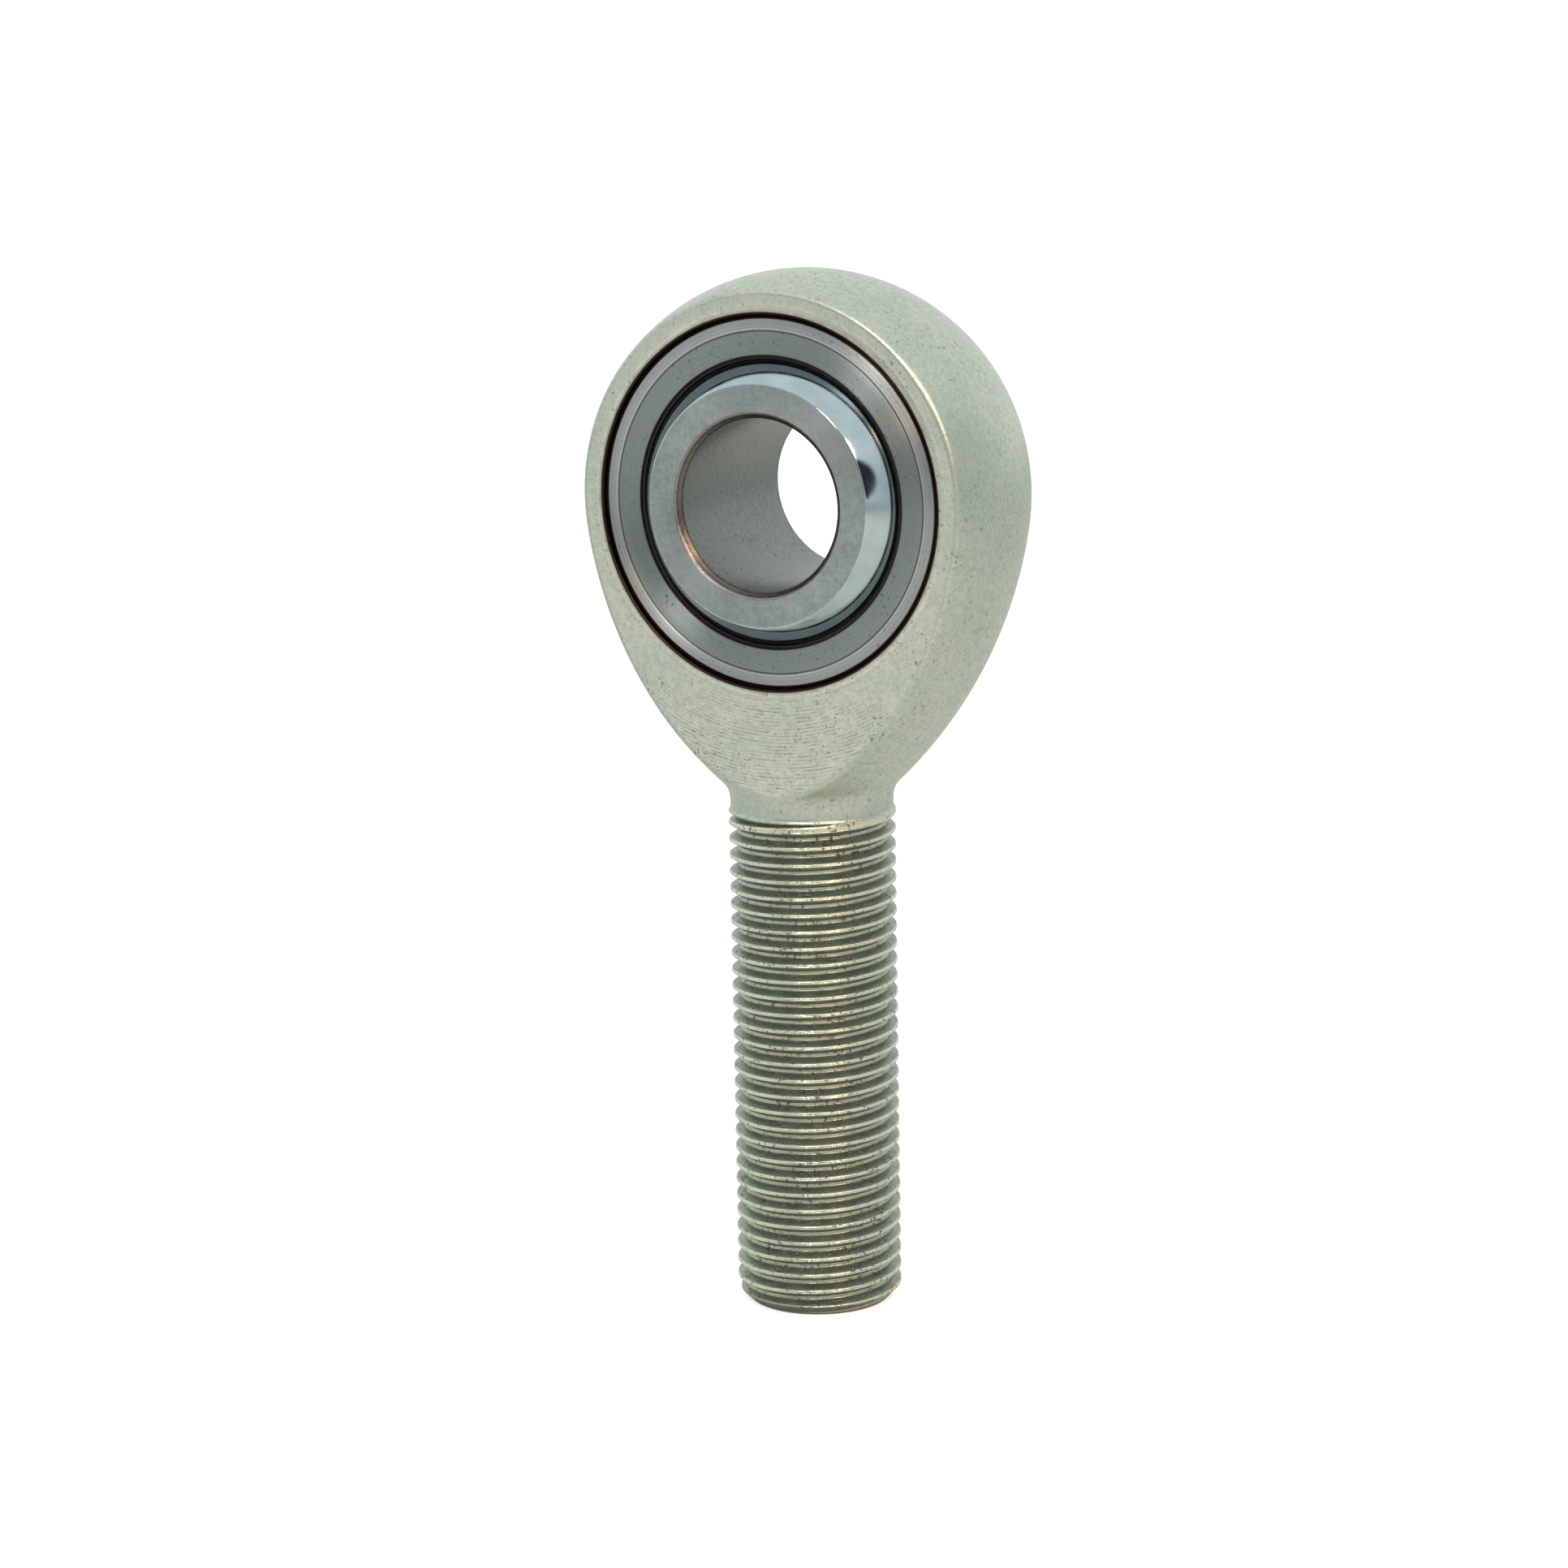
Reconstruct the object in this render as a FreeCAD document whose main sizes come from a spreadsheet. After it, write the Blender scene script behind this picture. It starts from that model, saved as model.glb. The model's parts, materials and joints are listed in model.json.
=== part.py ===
"""Male rod end bearing for a half inch bolt, as four separate pieces.

A turned eye on a threaded shank holds a swaged steel race. The race carries a thin bonded liner, and
the bored ball swivels in that liner. The origin is the centre of the ball. The bore lies along Y, and
the shank points down, along -Z. Sizes are in millimetres and angles in degrees.
"""
import FreeCAD, Part

import math
import os

import Sketcher

# ---------------------------------------------------------------- driving dimensions
DRIVING_SIZES = {
    # ball
    "ball_radius": 11.90,
    "ball_width": 15.875,
    "bore_radius": 6.35,
    "bore_chamfer": 0.50,
    # liner and race
    "running_clearance": 0.05,
    "liner_thickness": 0.27,
    "liner_width": 11.50,
    "race_width": 12.30,
    "race_mouth_width": 11.90,
    "race_dish_radius": 12.60,
    "race_radius": 13.70,
    "race_chamfer": 0.30,
    # eye
    "eye_radius": 16.66,
    "eye_width": 12.70,
    "eye_edge_fillet": 0.30,
    "seat_edge_chamfer": 0.15,
    "shoulder_drop": 2.32,
    "shoulder_radius": 33.0,
    # neck and shank
    "neck_radius": 6.16,
    "neck_fillet": 2.0,
    "thread_top": 24.20,
    "thread_radius": 6.32,
    "thread_pitch": 1.27,
    "thread_depth": 0.76,
    "groove_root_width": 0.20,
    "groove_overcut": 0.25,
    "groove_centre": 26.005,
    "full_turns": 29,
    "run_out_growth": 0.86,
    "end_chamfer": 0.90,
    "centre_to_end": 61.93,
}
THREAD_HALF_ANGLE = 30.0
SHANK_ARCS = 8

doc = FreeCAD.newDocument("rod_end_bearing")
sizes = doc.addObject("Spreadsheet::Sheet", "Sizes")
for row, (alias, value) in enumerate(DRIVING_SIZES.items(), start=1):
    sizes.set(f"A{row}", alias)
    sizes.set(f"B{row}", str(value))
    sizes.setAlias(f"B{row}", alias)
doc.recompute()


def size(alias):
    """The value of one cell of the sheet."""
    return float(getattr(sizes, alias))


# ---------------------------------------------------------------- helpers
def new_body(label):
    body = doc.addObject("PartDesign::Body", label)
    body.Label = label
    return body


def origin_feature(body, role):
    return next(item for item in body.Origin.OriginFeatures if item.Role == role)


def new_sketch(body, name, plane_role):
    sketch = body.newObject("Sketcher::SketchObject", name)
    sketch.AttachmentSupport = (origin_feature(body, plane_role), [""])
    sketch.MapMode = "FlatFace"
    return sketch


def vector(x, y, z=0):
    return FreeCAD.Vector(x, y, z)


def add_line(sketch, start, end):
    return sketch.addGeometry(Part.LineSegment(vector(*start), vector(*end)), False)


def add_arc(sketch, centre, radius, start_angle, end_angle):
    circle = Part.Circle(vector(*centre), vector(0, 0, 1), radius)
    arc = Part.ArcOfCircle(circle, math.radians(start_angle), math.radians(end_angle))
    return sketch.addGeometry(arc, False)


def join(sketch, *pairs):
    """Coincident ends: each pair is (curve, end, curve, end), with 1 for a start and 2 for an end."""
    for pair in pairs:
        sketch.addConstraint(Sketcher.Constraint("Coincident", *pair))


def centre_on_origin(sketch, curve):
    sketch.addConstraint(Sketcher.Constraint("Coincident", curve, 3, -1, 1))


def bind_radius(sketch, curve, name, expression):
    radius = sketch.Geometry[curve].Radius
    index = sketch.addConstraint(Sketcher.Constraint("Radius", curve, radius))
    sketch.renameConstraint(index, name)
    sketch.setExpression(f"Constraints.{name}", expression)


def bind_point(sketch, curve, end, name, across=None, along=None):
    """Tie one end of a curve to the sheet: across is its sketch x, along its sketch y."""
    place = sketch.getPoint(curve, end)
    for kind, suffix, value, expression in (
        ("DistanceX", "across", place.x, across),
        ("DistanceY", "along", place.y, along),
    ):
        if expression is None:
            continue
        index = sketch.addConstraint(Sketcher.Constraint(kind, -1, 1, curve, end, value))
        sketch.renameConstraint(index, f"{name}_{suffix}")
        sketch.setExpression(f"Constraints.{name}_{suffix}", expression)


def add_polygon(sketch, corners):
    """A closed polygon. Each corner is (x, y, expression for x, expression for y)."""
    count = len(corners)
    lines = [
        add_line(sketch, corners[i][:2], corners[(i + 1) % count][:2]) for i in range(count)
    ]
    for i, line in enumerate(lines):
        join(sketch, (line, 2, lines[(i + 1) % count], 1))
    for i, (x, y, across, along) in enumerate(corners):
        bind_point(sketch, lines[i], 1, f"corner_{i}", across, along)
    return lines


def revolve(body, sketch, name):
    """A full turn about the sketch's own vertical axis."""
    feature = body.newObject("PartDesign::Revolution", name)
    feature.Profile = sketch
    feature.ReferenceAxis = (sketch, ["V_Axis"])
    feature.Angle = 360.0
    feature.Refine = False
    return feature


def cut_through(body, sketch, name):
    """A cut right through, to both sides of the sketch's plane."""
    before = body.Shape.Volume
    feature = body.newObject("PartDesign::Pocket", name)
    feature.Profile = sketch
    feature.Type = "ThroughAll"
    feature.Midplane = True
    feature.Refine = True
    doc.recompute()
    if not body.Shape.Volume < before:
        raise RuntimeError(f"{name} cuts nothing")
    return feature


def dress(body, kind, name, chosen, size_name, expression):
    """Fillet or chamfer the edges of the tip that chosen(edge) accepts."""
    doc.recompute()
    tip = body.Tip
    edges = [f"Edge{i}" for i, edge in enumerate(tip.Shape.Edges, start=1) if chosen(edge)]
    feature = body.newObject(f"PartDesign::{kind}", name)
    feature.Base = (tip, edges)
    feature.setExpression(size_name, expression)
    feature.Refine = False
    doc.recompute()
    if "Invalid" in feature.State:
        raise RuntimeError(f"{name} failed")
    return feature


# ---------------------------------------------------------------- the ball
def make_ball():
    body = new_body("ball")
    half = size("ball_width") / 2
    radius = size("ball_radius")
    bore = size("bore_radius")
    chamfer = size("bore_chamfer")
    flat_angle = math.degrees(math.asin(half / radius))
    flat_radius = math.sqrt(radius**2 - half**2)

    outline = new_sketch(body, "ball_outline", "XY_Plane")
    sphere = add_arc(outline, (0, 0), radius, -flat_angle, flat_angle)
    top = add_line(outline, (flat_radius, half), (bore + chamfer, half))
    top_chamfer = add_line(outline, (bore + chamfer, half), (bore, half - chamfer))
    wall = add_line(outline, (bore, half - chamfer), (bore, chamfer - half))
    low_chamfer = add_line(outline, (bore, chamfer - half), (bore + chamfer, -half))
    low = add_line(outline, (bore + chamfer, -half), (flat_radius, -half))
    chain = [sphere, top, top_chamfer, wall, low_chamfer, low]
    for first, second in zip(chain, chain[1:] + chain[:1]):
        join(outline, (first, 2, second, 1))
    centre_on_origin(outline, sphere)
    bind_radius(outline, sphere, "sphere_radius", "Sizes.ball_radius")
    half_width = "Sizes.ball_width / 2"
    mouth = "Sizes.bore_radius + Sizes.bore_chamfer"
    bind_point(outline, sphere, 2, "top_edge", None, half_width)
    bind_point(outline, sphere, 1, "low_edge", None, f"-{half_width}")
    bind_point(outline, top, 2, "top_mouth", mouth, half_width)
    bind_point(outline, low, 1, "low_mouth", mouth, f"-{half_width}")
    bind_point(outline, wall, 1, "top_wall", "Sizes.bore_radius", f"{half_width} - Sizes.bore_chamfer")
    bind_point(outline, wall, 2, "low_wall", "Sizes.bore_radius", f"Sizes.bore_chamfer - {half_width}")
    revolve(body, outline, "ball_turning")
    return body


# ---------------------------------------------------------------- the liner and the race
INNER_LINER = "Sizes.ball_radius + Sizes.running_clearance"
OUTER_LINER = f"{INNER_LINER} + Sizes.liner_thickness"


def ring_arc_angle(radius, width):
    return math.degrees(math.asin(width / 2 / radius))


def make_liner():
    """A spherical shell with square-cut ends, bonded to the inside of the race."""
    body = new_body("liner")
    inner = size("ball_radius") + size("running_clearance")
    outer = inner + size("liner_thickness")
    width = size("liner_width")
    half = width / 2
    inner_angle = ring_arc_angle(inner, width)
    outer_angle = ring_arc_angle(outer, width)

    outline = new_sketch(body, "liner_outline", "XY_Plane")
    inside = add_arc(outline, (0, 0), inner, -inner_angle, inner_angle)
    outside = add_arc(outline, (0, 0), outer, -outer_angle, outer_angle)
    inner_edge = math.sqrt(inner**2 - half**2)
    outer_edge = math.sqrt(outer**2 - half**2)
    top = add_line(outline, (inner_edge, half), (outer_edge, half))
    low = add_line(outline, (inner_edge, -half), (outer_edge, -half))
    join(outline, (inside, 2, top, 1), (top, 2, outside, 2), (outside, 1, low, 2), (low, 1, inside, 1))
    for arc in (inside, outside):
        centre_on_origin(outline, arc)
    bind_radius(outline, inside, "inner_radius", INNER_LINER)
    bind_radius(outline, outside, "outer_radius", OUTER_LINER)
    for arc, side in ((inside, "inner"), (outside, "outer")):
        bind_point(outline, arc, 2, f"{side}_top", None, "Sizes.liner_width / 2")
        bind_point(outline, arc, 1, f"{side}_low", None, "-Sizes.liner_width / 2")
    revolve(body, outline, "liner_turning")
    return body


def race_side(sign):
    """Corners of one end of the race, from its mouth to its outer wall, with their expressions."""
    mark = "" if sign > 0 else "-"
    mouth_half = size("race_mouth_width") / 2
    half = size("race_width") / 2
    outer = size("race_radius")
    chamfer = size("race_chamfer")
    face = f"{mark}Sizes.race_width / 2"
    wall = f"{mark}(Sizes.race_width / 2 - Sizes.race_chamfer)"
    seat = size("ball_radius") + size("running_clearance") + size("liner_thickness")
    mouth_radius = math.sqrt(seat**2 - mouth_half**2)
    return [
        (mouth_radius, sign * mouth_half, None, f"{mark}Sizes.race_mouth_width / 2"),
        (size("race_dish_radius"), sign * half, "Sizes.race_dish_radius", face),
        (outer - chamfer, sign * half, "Sizes.race_radius - Sizes.race_chamfer", face),
        (outer, sign * (half - chamfer), "Sizes.race_radius", wall),
    ]


def make_race():
    """The race: a spherical seat, slightly dished end faces, and chamfered outer rims."""
    body = new_body("outer_race")
    seat = size("ball_radius") + size("running_clearance") + size("liner_thickness")
    seat_angle = ring_arc_angle(seat, size("race_mouth_width"))

    outline = new_sketch(body, "race_outline", "XY_Plane")
    seat_arc = add_arc(outline, (0, 0), seat, -seat_angle, seat_angle)
    corners = race_side(1) + list(reversed(race_side(-1)))
    lines = [
        add_line(outline, start[:2], end[:2]) for start, end in zip(corners, corners[1:])
    ]
    for first, second in zip(lines, lines[1:]):
        join(outline, (first, 2, second, 1))
    join(outline, (seat_arc, 2, lines[0], 1), (seat_arc, 1, lines[-1], 2))
    centre_on_origin(outline, seat_arc)
    bind_radius(outline, seat_arc, "seat_radius", OUTER_LINER)
    for number, (line, (_, _, across, along)) in enumerate(zip(lines, corners)):
        bind_point(outline, line, 1, f"corner_{number}", across, along)
    bind_point(outline, lines[-1], 2, "last_corner", corners[-1][2], corners[-1][3])
    revolve(body, outline, "race_turning")
    return body


# ---------------------------------------------------------------- the eye and its shank
def add_eye(body):
    """The turned blank: a spherical eye whose lower shoulder sweeps into the neck."""
    radius = size("eye_radius")
    drop = size("shoulder_drop")
    shoulder = size("shoulder_radius")
    neck = size("neck_radius")
    fillet = size("neck_fillet")
    bottom = -size("thread_top")

    # The shoulder arc leaves the sphere tangentially, so both centres lie on one line.
    leave = math.asin(drop / radius)
    shoulder_x = (radius - shoulder) * math.cos(leave)
    shoulder_y = (shoulder - radius) * math.sin(leave)
    # The neck fillet touches the shoulder arc from outside and the neck from its side.
    fillet_x = neck + fillet
    fillet_y = shoulder_y - math.sqrt((shoulder + fillet) ** 2 - (fillet_x - shoulder_x) ** 2)
    meet = math.degrees(math.atan2(fillet_y - shoulder_y, fillet_x - shoulder_x))

    outline = new_sketch(body, "eye_outline", "XZ_Plane")
    sphere = add_arc(outline, (0, 0), radius, -math.degrees(leave), 90)
    side = add_arc(outline, (shoulder_x, shoulder_y), shoulder, meet, -math.degrees(leave))
    hollow = add_arc(outline, (fillet_x, fillet_y), fillet, meet + 180, 180)
    neck_line = add_line(outline, (neck, fillet_y), (neck, bottom))
    floor = add_line(outline, (neck, bottom), (0, bottom))
    axis = add_line(outline, (0, bottom), (0, radius))
    outline.addConstraint(Sketcher.Constraint("Tangent", sphere, 1, side, 2))
    outline.addConstraint(Sketcher.Constraint("Tangent", side, 1, hollow, 1))
    outline.addConstraint(Sketcher.Constraint("Tangent", hollow, 2, neck_line, 1))
    join(outline, (neck_line, 2, floor, 1), (floor, 2, axis, 1), (axis, 2, sphere, 2))
    centre_on_origin(outline, sphere)
    bind_radius(outline, sphere, "eye_radius", "Sizes.eye_radius")
    bind_radius(outline, side, "shoulder_radius", "Sizes.shoulder_radius")
    bind_radius(outline, hollow, "neck_fillet", "Sizes.neck_fillet")
    bind_point(outline, sphere, 1, "shoulder_start", None, "-Sizes.shoulder_drop")
    bind_point(outline, neck_line, 2, "neck", "Sizes.neck_radius", "-Sizes.thread_top")
    bind_point(outline, axis, 1, "axis_low", "0", "-Sizes.thread_top")
    bind_point(outline, axis, 2, "axis_top", "0", None)
    revolve(body, outline, "eye_turning")
    doc.recompute()


def add_flats(body):
    """The two milled faces of the eye, as far apart as the eye is wide."""
    half = size("eye_width") / 2
    reach = size("eye_radius") + 2
    far = "Sizes.eye_radius + 2"
    for name, sign, mark in (("front_flat", -1, "-"), ("back_flat", 1, "")):
        face = f"{mark}Sizes.eye_width / 2"
        outside = f"{mark}({far})"
        outline = new_sketch(body, name, "XY_Plane")
        add_polygon(
            outline,
            [
                (-reach, sign * half, f"-({far})", face),
                (reach, sign * half, far, face),
                (reach, sign * reach, far, outside),
                (-reach, sign * reach, f"-({far})", outside),
            ],
        )
        cut_through(body, outline, f"{name}_milling")


def add_race_seat(body):
    """The bore that the race is pressed into."""
    outline = new_sketch(body, "race_seat", "XZ_Plane")
    circle = Part.Circle(vector(0, 0), vector(0, 0, 1), size("race_radius"))
    seat = outline.addGeometry(circle, False)
    centre_on_origin(outline, seat)
    bind_radius(outline, seat, "seat_radius", "Sizes.race_radius")
    cut_through(body, outline, "race_seat_boring")


def on_a_flat(edge):
    half = size("eye_width") / 2
    if edge.Degenerated:
        return False
    return all(abs(abs(vertex.Y) - half) < 1e-4 for vertex in edge.Vertexes) and (
        abs(abs(edge.CenterOfMass.y) - half) < 1e-4
    )


def is_seat_edge(edge):
    seat = size("race_radius")
    return on_a_flat(edge) and all(
        abs(math.hypot(vertex.X, vertex.Z) - seat) < 1e-4 for vertex in edge.Vertexes
    )


def is_eye_edge(edge):
    return on_a_flat(edge) and not is_seat_edge(edge)


def add_shank(body):
    """The plain shank, drawn as equal arcs, with its chamfered end."""
    radius = size("thread_radius")
    outline = new_sketch(body, "shank_outline", "XY_Plane")
    outline.setExpression("AttachmentOffset.Base.z", "-Sizes.thread_top")
    sweep = 360 / SHANK_ARCS
    starts = [sweep * (k - 0.5) for k in range(SHANK_ARCS)]
    arcs = [add_arc(outline, (0, 0), radius, start, start + sweep) for start in starts]
    for k, (arc, start) in enumerate(zip(arcs, starts)):
        join(outline, (arc, 2, arcs[(k + 1) % SHANK_ARCS], 1))
        # The first point fixes the radius. Each other one slides on the circle, so one size fixes it.
        steep = abs(math.sin(math.radians(start))) > abs(math.cos(math.radians(start)))
        across = f"Sizes.thread_radius * cos({start} deg)" if k == 0 or steep else None
        along = f"Sizes.thread_radius * sin({start} deg)" if k == 0 or not steep else None
        bind_point(outline, arc, 1, f"arc_{k}", across, along)
    for arc in arcs[:-1]:
        centre_on_origin(outline, arc)
    # The last arc's ends already put its centre on a line through the origin, so it is only levelled.
    outline.addConstraint(Sketcher.Constraint("PointOnObject", arcs[-1], 3, -1))
    shank = body.newObject("PartDesign::Pad", "shank_turning")
    shank.Profile = outline
    shank.Reversed = True
    shank.setExpression("Length", "Sizes.centre_to_end - Sizes.thread_top")
    shank.Refine = False
    doc.recompute()
    end = -size("centre_to_end")
    dress(
        body,
        "Chamfer",
        "end_chamfering",
        lambda edge: abs(edge.CenterOfMass.z - end) < 1e-4,
        "Size",
        "Sizes.end_chamfer",
    )


def cut_groove(body, name, centre_expression, centre, settings):
    """Cut a helical V groove that starts at the +X side of the shank, at height centre."""
    depth = size("thread_depth")
    over = size("groove_overcut")
    spread = math.tan(math.radians(THREAD_HALF_ANGLE))
    root_half = size("groove_root_width") / 2
    mouth_half = root_half + (depth + over) * spread
    root = size("thread_radius") - depth
    mouth = size("thread_radius") + over
    root_x = "Sizes.thread_radius - Sizes.thread_depth"
    mouth_x = "Sizes.thread_radius + Sizes.groove_overcut"
    root_reach = "Sizes.groove_root_width / 2"
    mouth_reach = (
        f"({root_reach} + (Sizes.thread_depth + Sizes.groove_overcut)"
        f" * tan({THREAD_HALF_ANGLE} deg))"
    )
    outline = new_sketch(body, f"{name}_outline", "XZ_Plane")
    add_polygon(
        outline,
        [
            (root, centre - root_half, root_x, f"{centre_expression} - {root_reach}"),
            (mouth, centre - mouth_half, mouth_x, f"{centre_expression} - {mouth_reach}"),
            (mouth, centre + mouth_half, mouth_x, f"{centre_expression} + {mouth_reach}"),
            (root, centre + root_half, root_x, f"{centre_expression} + {root_reach}"),
        ],
    )
    before = body.Shape.Volume
    groove = body.newObject("PartDesign::SubtractiveHelix", name)
    groove.Profile = outline
    groove.ReferenceAxis = (origin_feature(body, "Z_Axis"), [""])
    groove.LeftHanded = False
    groove.Refine = False
    groove.Mode = settings["mode"]
    for key, expression in settings["bound"].items():
        groove.setExpression(key, expression)
    doc.recompute()
    if not body.Shape.Volume < before:
        raise RuntimeError(f"{name} cuts nothing")
    return groove


def add_thread(body):
    """Full-depth turns from below the shank's end, then one turn that fades out at the top."""
    top = -size("groove_centre")
    rise = size("full_turns") * size("thread_pitch")
    cut_groove(
        body,
        "thread_groove",
        "-Sizes.groove_centre - Sizes.full_turns * Sizes.thread_pitch",
        top - rise,
        {
            "mode": "pitch-height-angle",
            "bound": {
                "Pitch": "Sizes.thread_pitch",
                "Height": "Sizes.full_turns * Sizes.thread_pitch",
            },
        },
    )
    cut_groove(
        body,
        "thread_run_out",
        "-Sizes.groove_centre",
        top,
        {
            "mode": "height-turns-growth",
            "bound": {"Height": "Sizes.thread_pitch", "Growth": "Sizes.run_out_growth"},
        },
    )


def make_rod_end_body():
    body = new_body("rod_end_body")
    add_eye(body)
    add_flats(body)
    add_race_seat(body)
    dress(body, "Chamfer", "seat_edge_break", is_seat_edge, "Size", "Sizes.seat_edge_chamfer")
    dress(body, "Fillet", "eye_edge_rounding", is_eye_edge, "Radius", "Sizes.eye_edge_fillet")
    add_shank(body)
    add_thread(body)
    return body


# ---------------------------------------------------------------- build, check and write
pieces = [make_ball(), make_liner(), make_race(), make_rod_end_body()]
doc.recompute()

for item in doc.Objects:
    if "Invalid" in item.State or "Error" in item.State:
        raise RuntimeError(f"{item.Name} failed: {item.State}")
for piece in pieces:
    shape = piece.Shape
    if shape.isNull() or not shape.isValid() or len(shape.Solids) != 1:
        raise RuntimeError(f"{piece.Label} is not one valid solid")

os.makedirs("parts", exist_ok=True)
for piece in pieces:
    piece.Shape.exportStep(f"parts/{piece.Label}.step")
    box = piece.Shape.optimalBoundingBox(False)
    print(
        f"{piece.Label}: volume {piece.Shape.Volume:.1f} mm3, faces {len(piece.Shape.Faces)},"
        f" box {box.XLength:.2f} x {box.YLength:.2f} x {box.ZLength:.2f}"
    )
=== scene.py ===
import json
import math

import bmesh
import bpy
from mathutils import Matrix, Vector, noise


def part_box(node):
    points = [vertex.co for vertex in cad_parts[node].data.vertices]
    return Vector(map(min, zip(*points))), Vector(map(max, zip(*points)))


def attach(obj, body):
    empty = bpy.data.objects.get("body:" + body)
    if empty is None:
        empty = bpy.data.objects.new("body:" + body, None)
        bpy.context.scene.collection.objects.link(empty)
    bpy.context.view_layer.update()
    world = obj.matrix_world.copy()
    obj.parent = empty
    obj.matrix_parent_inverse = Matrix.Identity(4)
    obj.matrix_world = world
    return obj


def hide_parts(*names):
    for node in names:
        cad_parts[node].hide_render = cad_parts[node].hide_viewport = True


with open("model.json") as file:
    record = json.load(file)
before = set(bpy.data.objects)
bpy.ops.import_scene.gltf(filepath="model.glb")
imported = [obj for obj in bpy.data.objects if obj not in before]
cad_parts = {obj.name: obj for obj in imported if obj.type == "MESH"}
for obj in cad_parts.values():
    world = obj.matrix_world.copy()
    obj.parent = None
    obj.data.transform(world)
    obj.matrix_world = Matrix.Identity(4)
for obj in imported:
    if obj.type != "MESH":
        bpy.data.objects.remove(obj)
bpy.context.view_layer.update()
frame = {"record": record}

# Shapes are worked out in millimetres in the row frame and written to the meshes in metres.
MM = 0.001

# ---------------------------------------------------------------- sizes from the frame
MOUNTS = {mount["name"]: mount for mount in frame["record"]["mounts"]}
BORE = MOUNTS["ball_bore"]["dims"]["r_mm"]
CREST = MOUNTS["threaded_shank"]["dims"]["r_mm"]
BODY_LOW, BODY_HIGH = (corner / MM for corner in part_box("rod_end_body"))
EYE_HALF = BODY_HIGH.y
SHANK_END = BODY_LOW.z
BALL_HALF = (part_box("ball")[1] / MM).y
RACE_HALF = (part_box("outer_race")[1] / MM).y
LINER_HALF = (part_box("liner")[1] / MM).y

# ---------------------------------------------------------------- sizes shared with the CAD model
BALL_RADIUS = 11.90
BORE_CHAMFER = 0.50
RUNNING_CLEARANCE = 0.05
LINER_THICKNESS = 0.27
LINER_INNER = BALL_RADIUS + RUNNING_CLEARANCE
SEAT_RADIUS = LINER_INNER + LINER_THICKNESS
RACE_MOUTH_HALF = 5.95
RACE_MOUTH = math.sqrt(SEAT_RADIUS**2 - RACE_MOUTH_HALF**2)
RACE_DISH = 12.60
RACE_RADIUS = 13.70
RACE_CHAMFER = 0.30
EYE_RADIUS = 16.66
EYE_FILLET = 0.30
SHOULDER_DROP = 2.32
SHOULDER_RADIUS = 33.0
NECK_RADIUS = 6.16
NECK_FILLET = 2.0
PITCH = 1.27
THREAD_DEPTH = 0.76
THREAD_HALF_ANGLE = 30
FLANK_SLOPE = 1 / math.tan(math.radians(THREAD_HALF_ANGLE))
ROOT_HALF = 0.10
GROOVE_TOP = -26.005
FULL_TURNS = 29
END_CHAMFER = 0.90

# ---------------------------------------------------------------- sizes that differ from the CAD model
# The thread starts nearer to the eye than in the CAD model, and its groove fades out faster.
THREAD_TOP = -23.75
RUN_OUT_START = 1.55                # turns at full depth above the CAD model's last one
RUN_OUT_GROWTH = 1.6                # millimetres that the groove loses in one turn of the run-out


# ---------------------------------------------------------------- mesh helpers
MERGE_DISTANCE = 0.002
SHORTEST_EDGE = 0.0005


class Skin:
    """Collects grids of points and turns them into one closed, smooth mesh object."""

    def __init__(self, name, materials):
        self.name = name
        self.materials = materials
        self.points = []
        self.faces = []
        self.slots = []

    def grid(self, rows, slot=0, closed=False):
        """rows is a list of equal rows of points. closed joins the last point of a row to its first."""
        start = len(self.points)
        width = len(rows[0])
        for row in rows:
            self.points.extend(row)
        for i in range(len(rows) - 1):
            for j in range(width if closed else width - 1):
                k = (j + 1) % width
                face = [i * width + j, i * width + k, (i + 1) * width + k, (i + 1) * width + j]
                self.faces.append([start + corner for corner in face])
                self.slots.append(slot)

    def add_faces(self, points, faces, slot=0):
        start = len(self.points)
        self.points.extend(points)
        self.faces.extend([start + corner for corner in face] for face in faces)
        self.slots.extend([slot] * len(faces))

    def build(self, body, node):
        """Joins the grids into one mesh that rides on body and replaces the CAD node."""
        mesh = bpy.data.meshes.new(self.name)
        mesh.from_pydata([Vector(p) * MM for p in self.points], [], self.faces)
        mesh.polygons.foreach_set("material_index", self.slots)
        shape = bmesh.new()
        shape.from_mesh(mesh)
        bmesh.ops.remove_doubles(shape, verts=shape.verts, dist=MERGE_DISTANCE * MM)
        bmesh.ops.dissolve_degenerate(shape, edges=shape.edges, dist=SHORTEST_EDGE * MM)
        bmesh.ops.recalc_face_normals(shape, faces=shape.faces)
        shape.to_mesh(mesh)
        shape.free()
        mesh.polygons.foreach_set("use_smooth", [True] * len(mesh.polygons))
        piece = bpy.data.objects.new(self.name, mesh)
        bpy.context.scene.collection.objects.link(piece)
        for material in self.materials:
            mesh.materials.append(material)
        weight = piece.modifiers.new("face_weights", "WEIGHTED_NORMAL")
        weight.keep_sharp = False
        weight.weight = 60
        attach(piece, body)
        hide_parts(node)
        return piece


def smooth_low(a, b, blend):
    """The smaller of a and b, with the corner between them rounded over blend."""
    mix = max(blend - abs(a - b), 0) / blend
    return min(a, b) - mix * mix * blend / 4


def arc_points(radius, start, end, count):
    """Points (r, y) along a circle about the ball's centre. Angles are from the XZ plane, in radians."""
    step = (end - start) / count
    return [
        (radius * math.cos(start + i * step), radius * math.sin(start + i * step))
        for i in range(count + 1)
    ]


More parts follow.
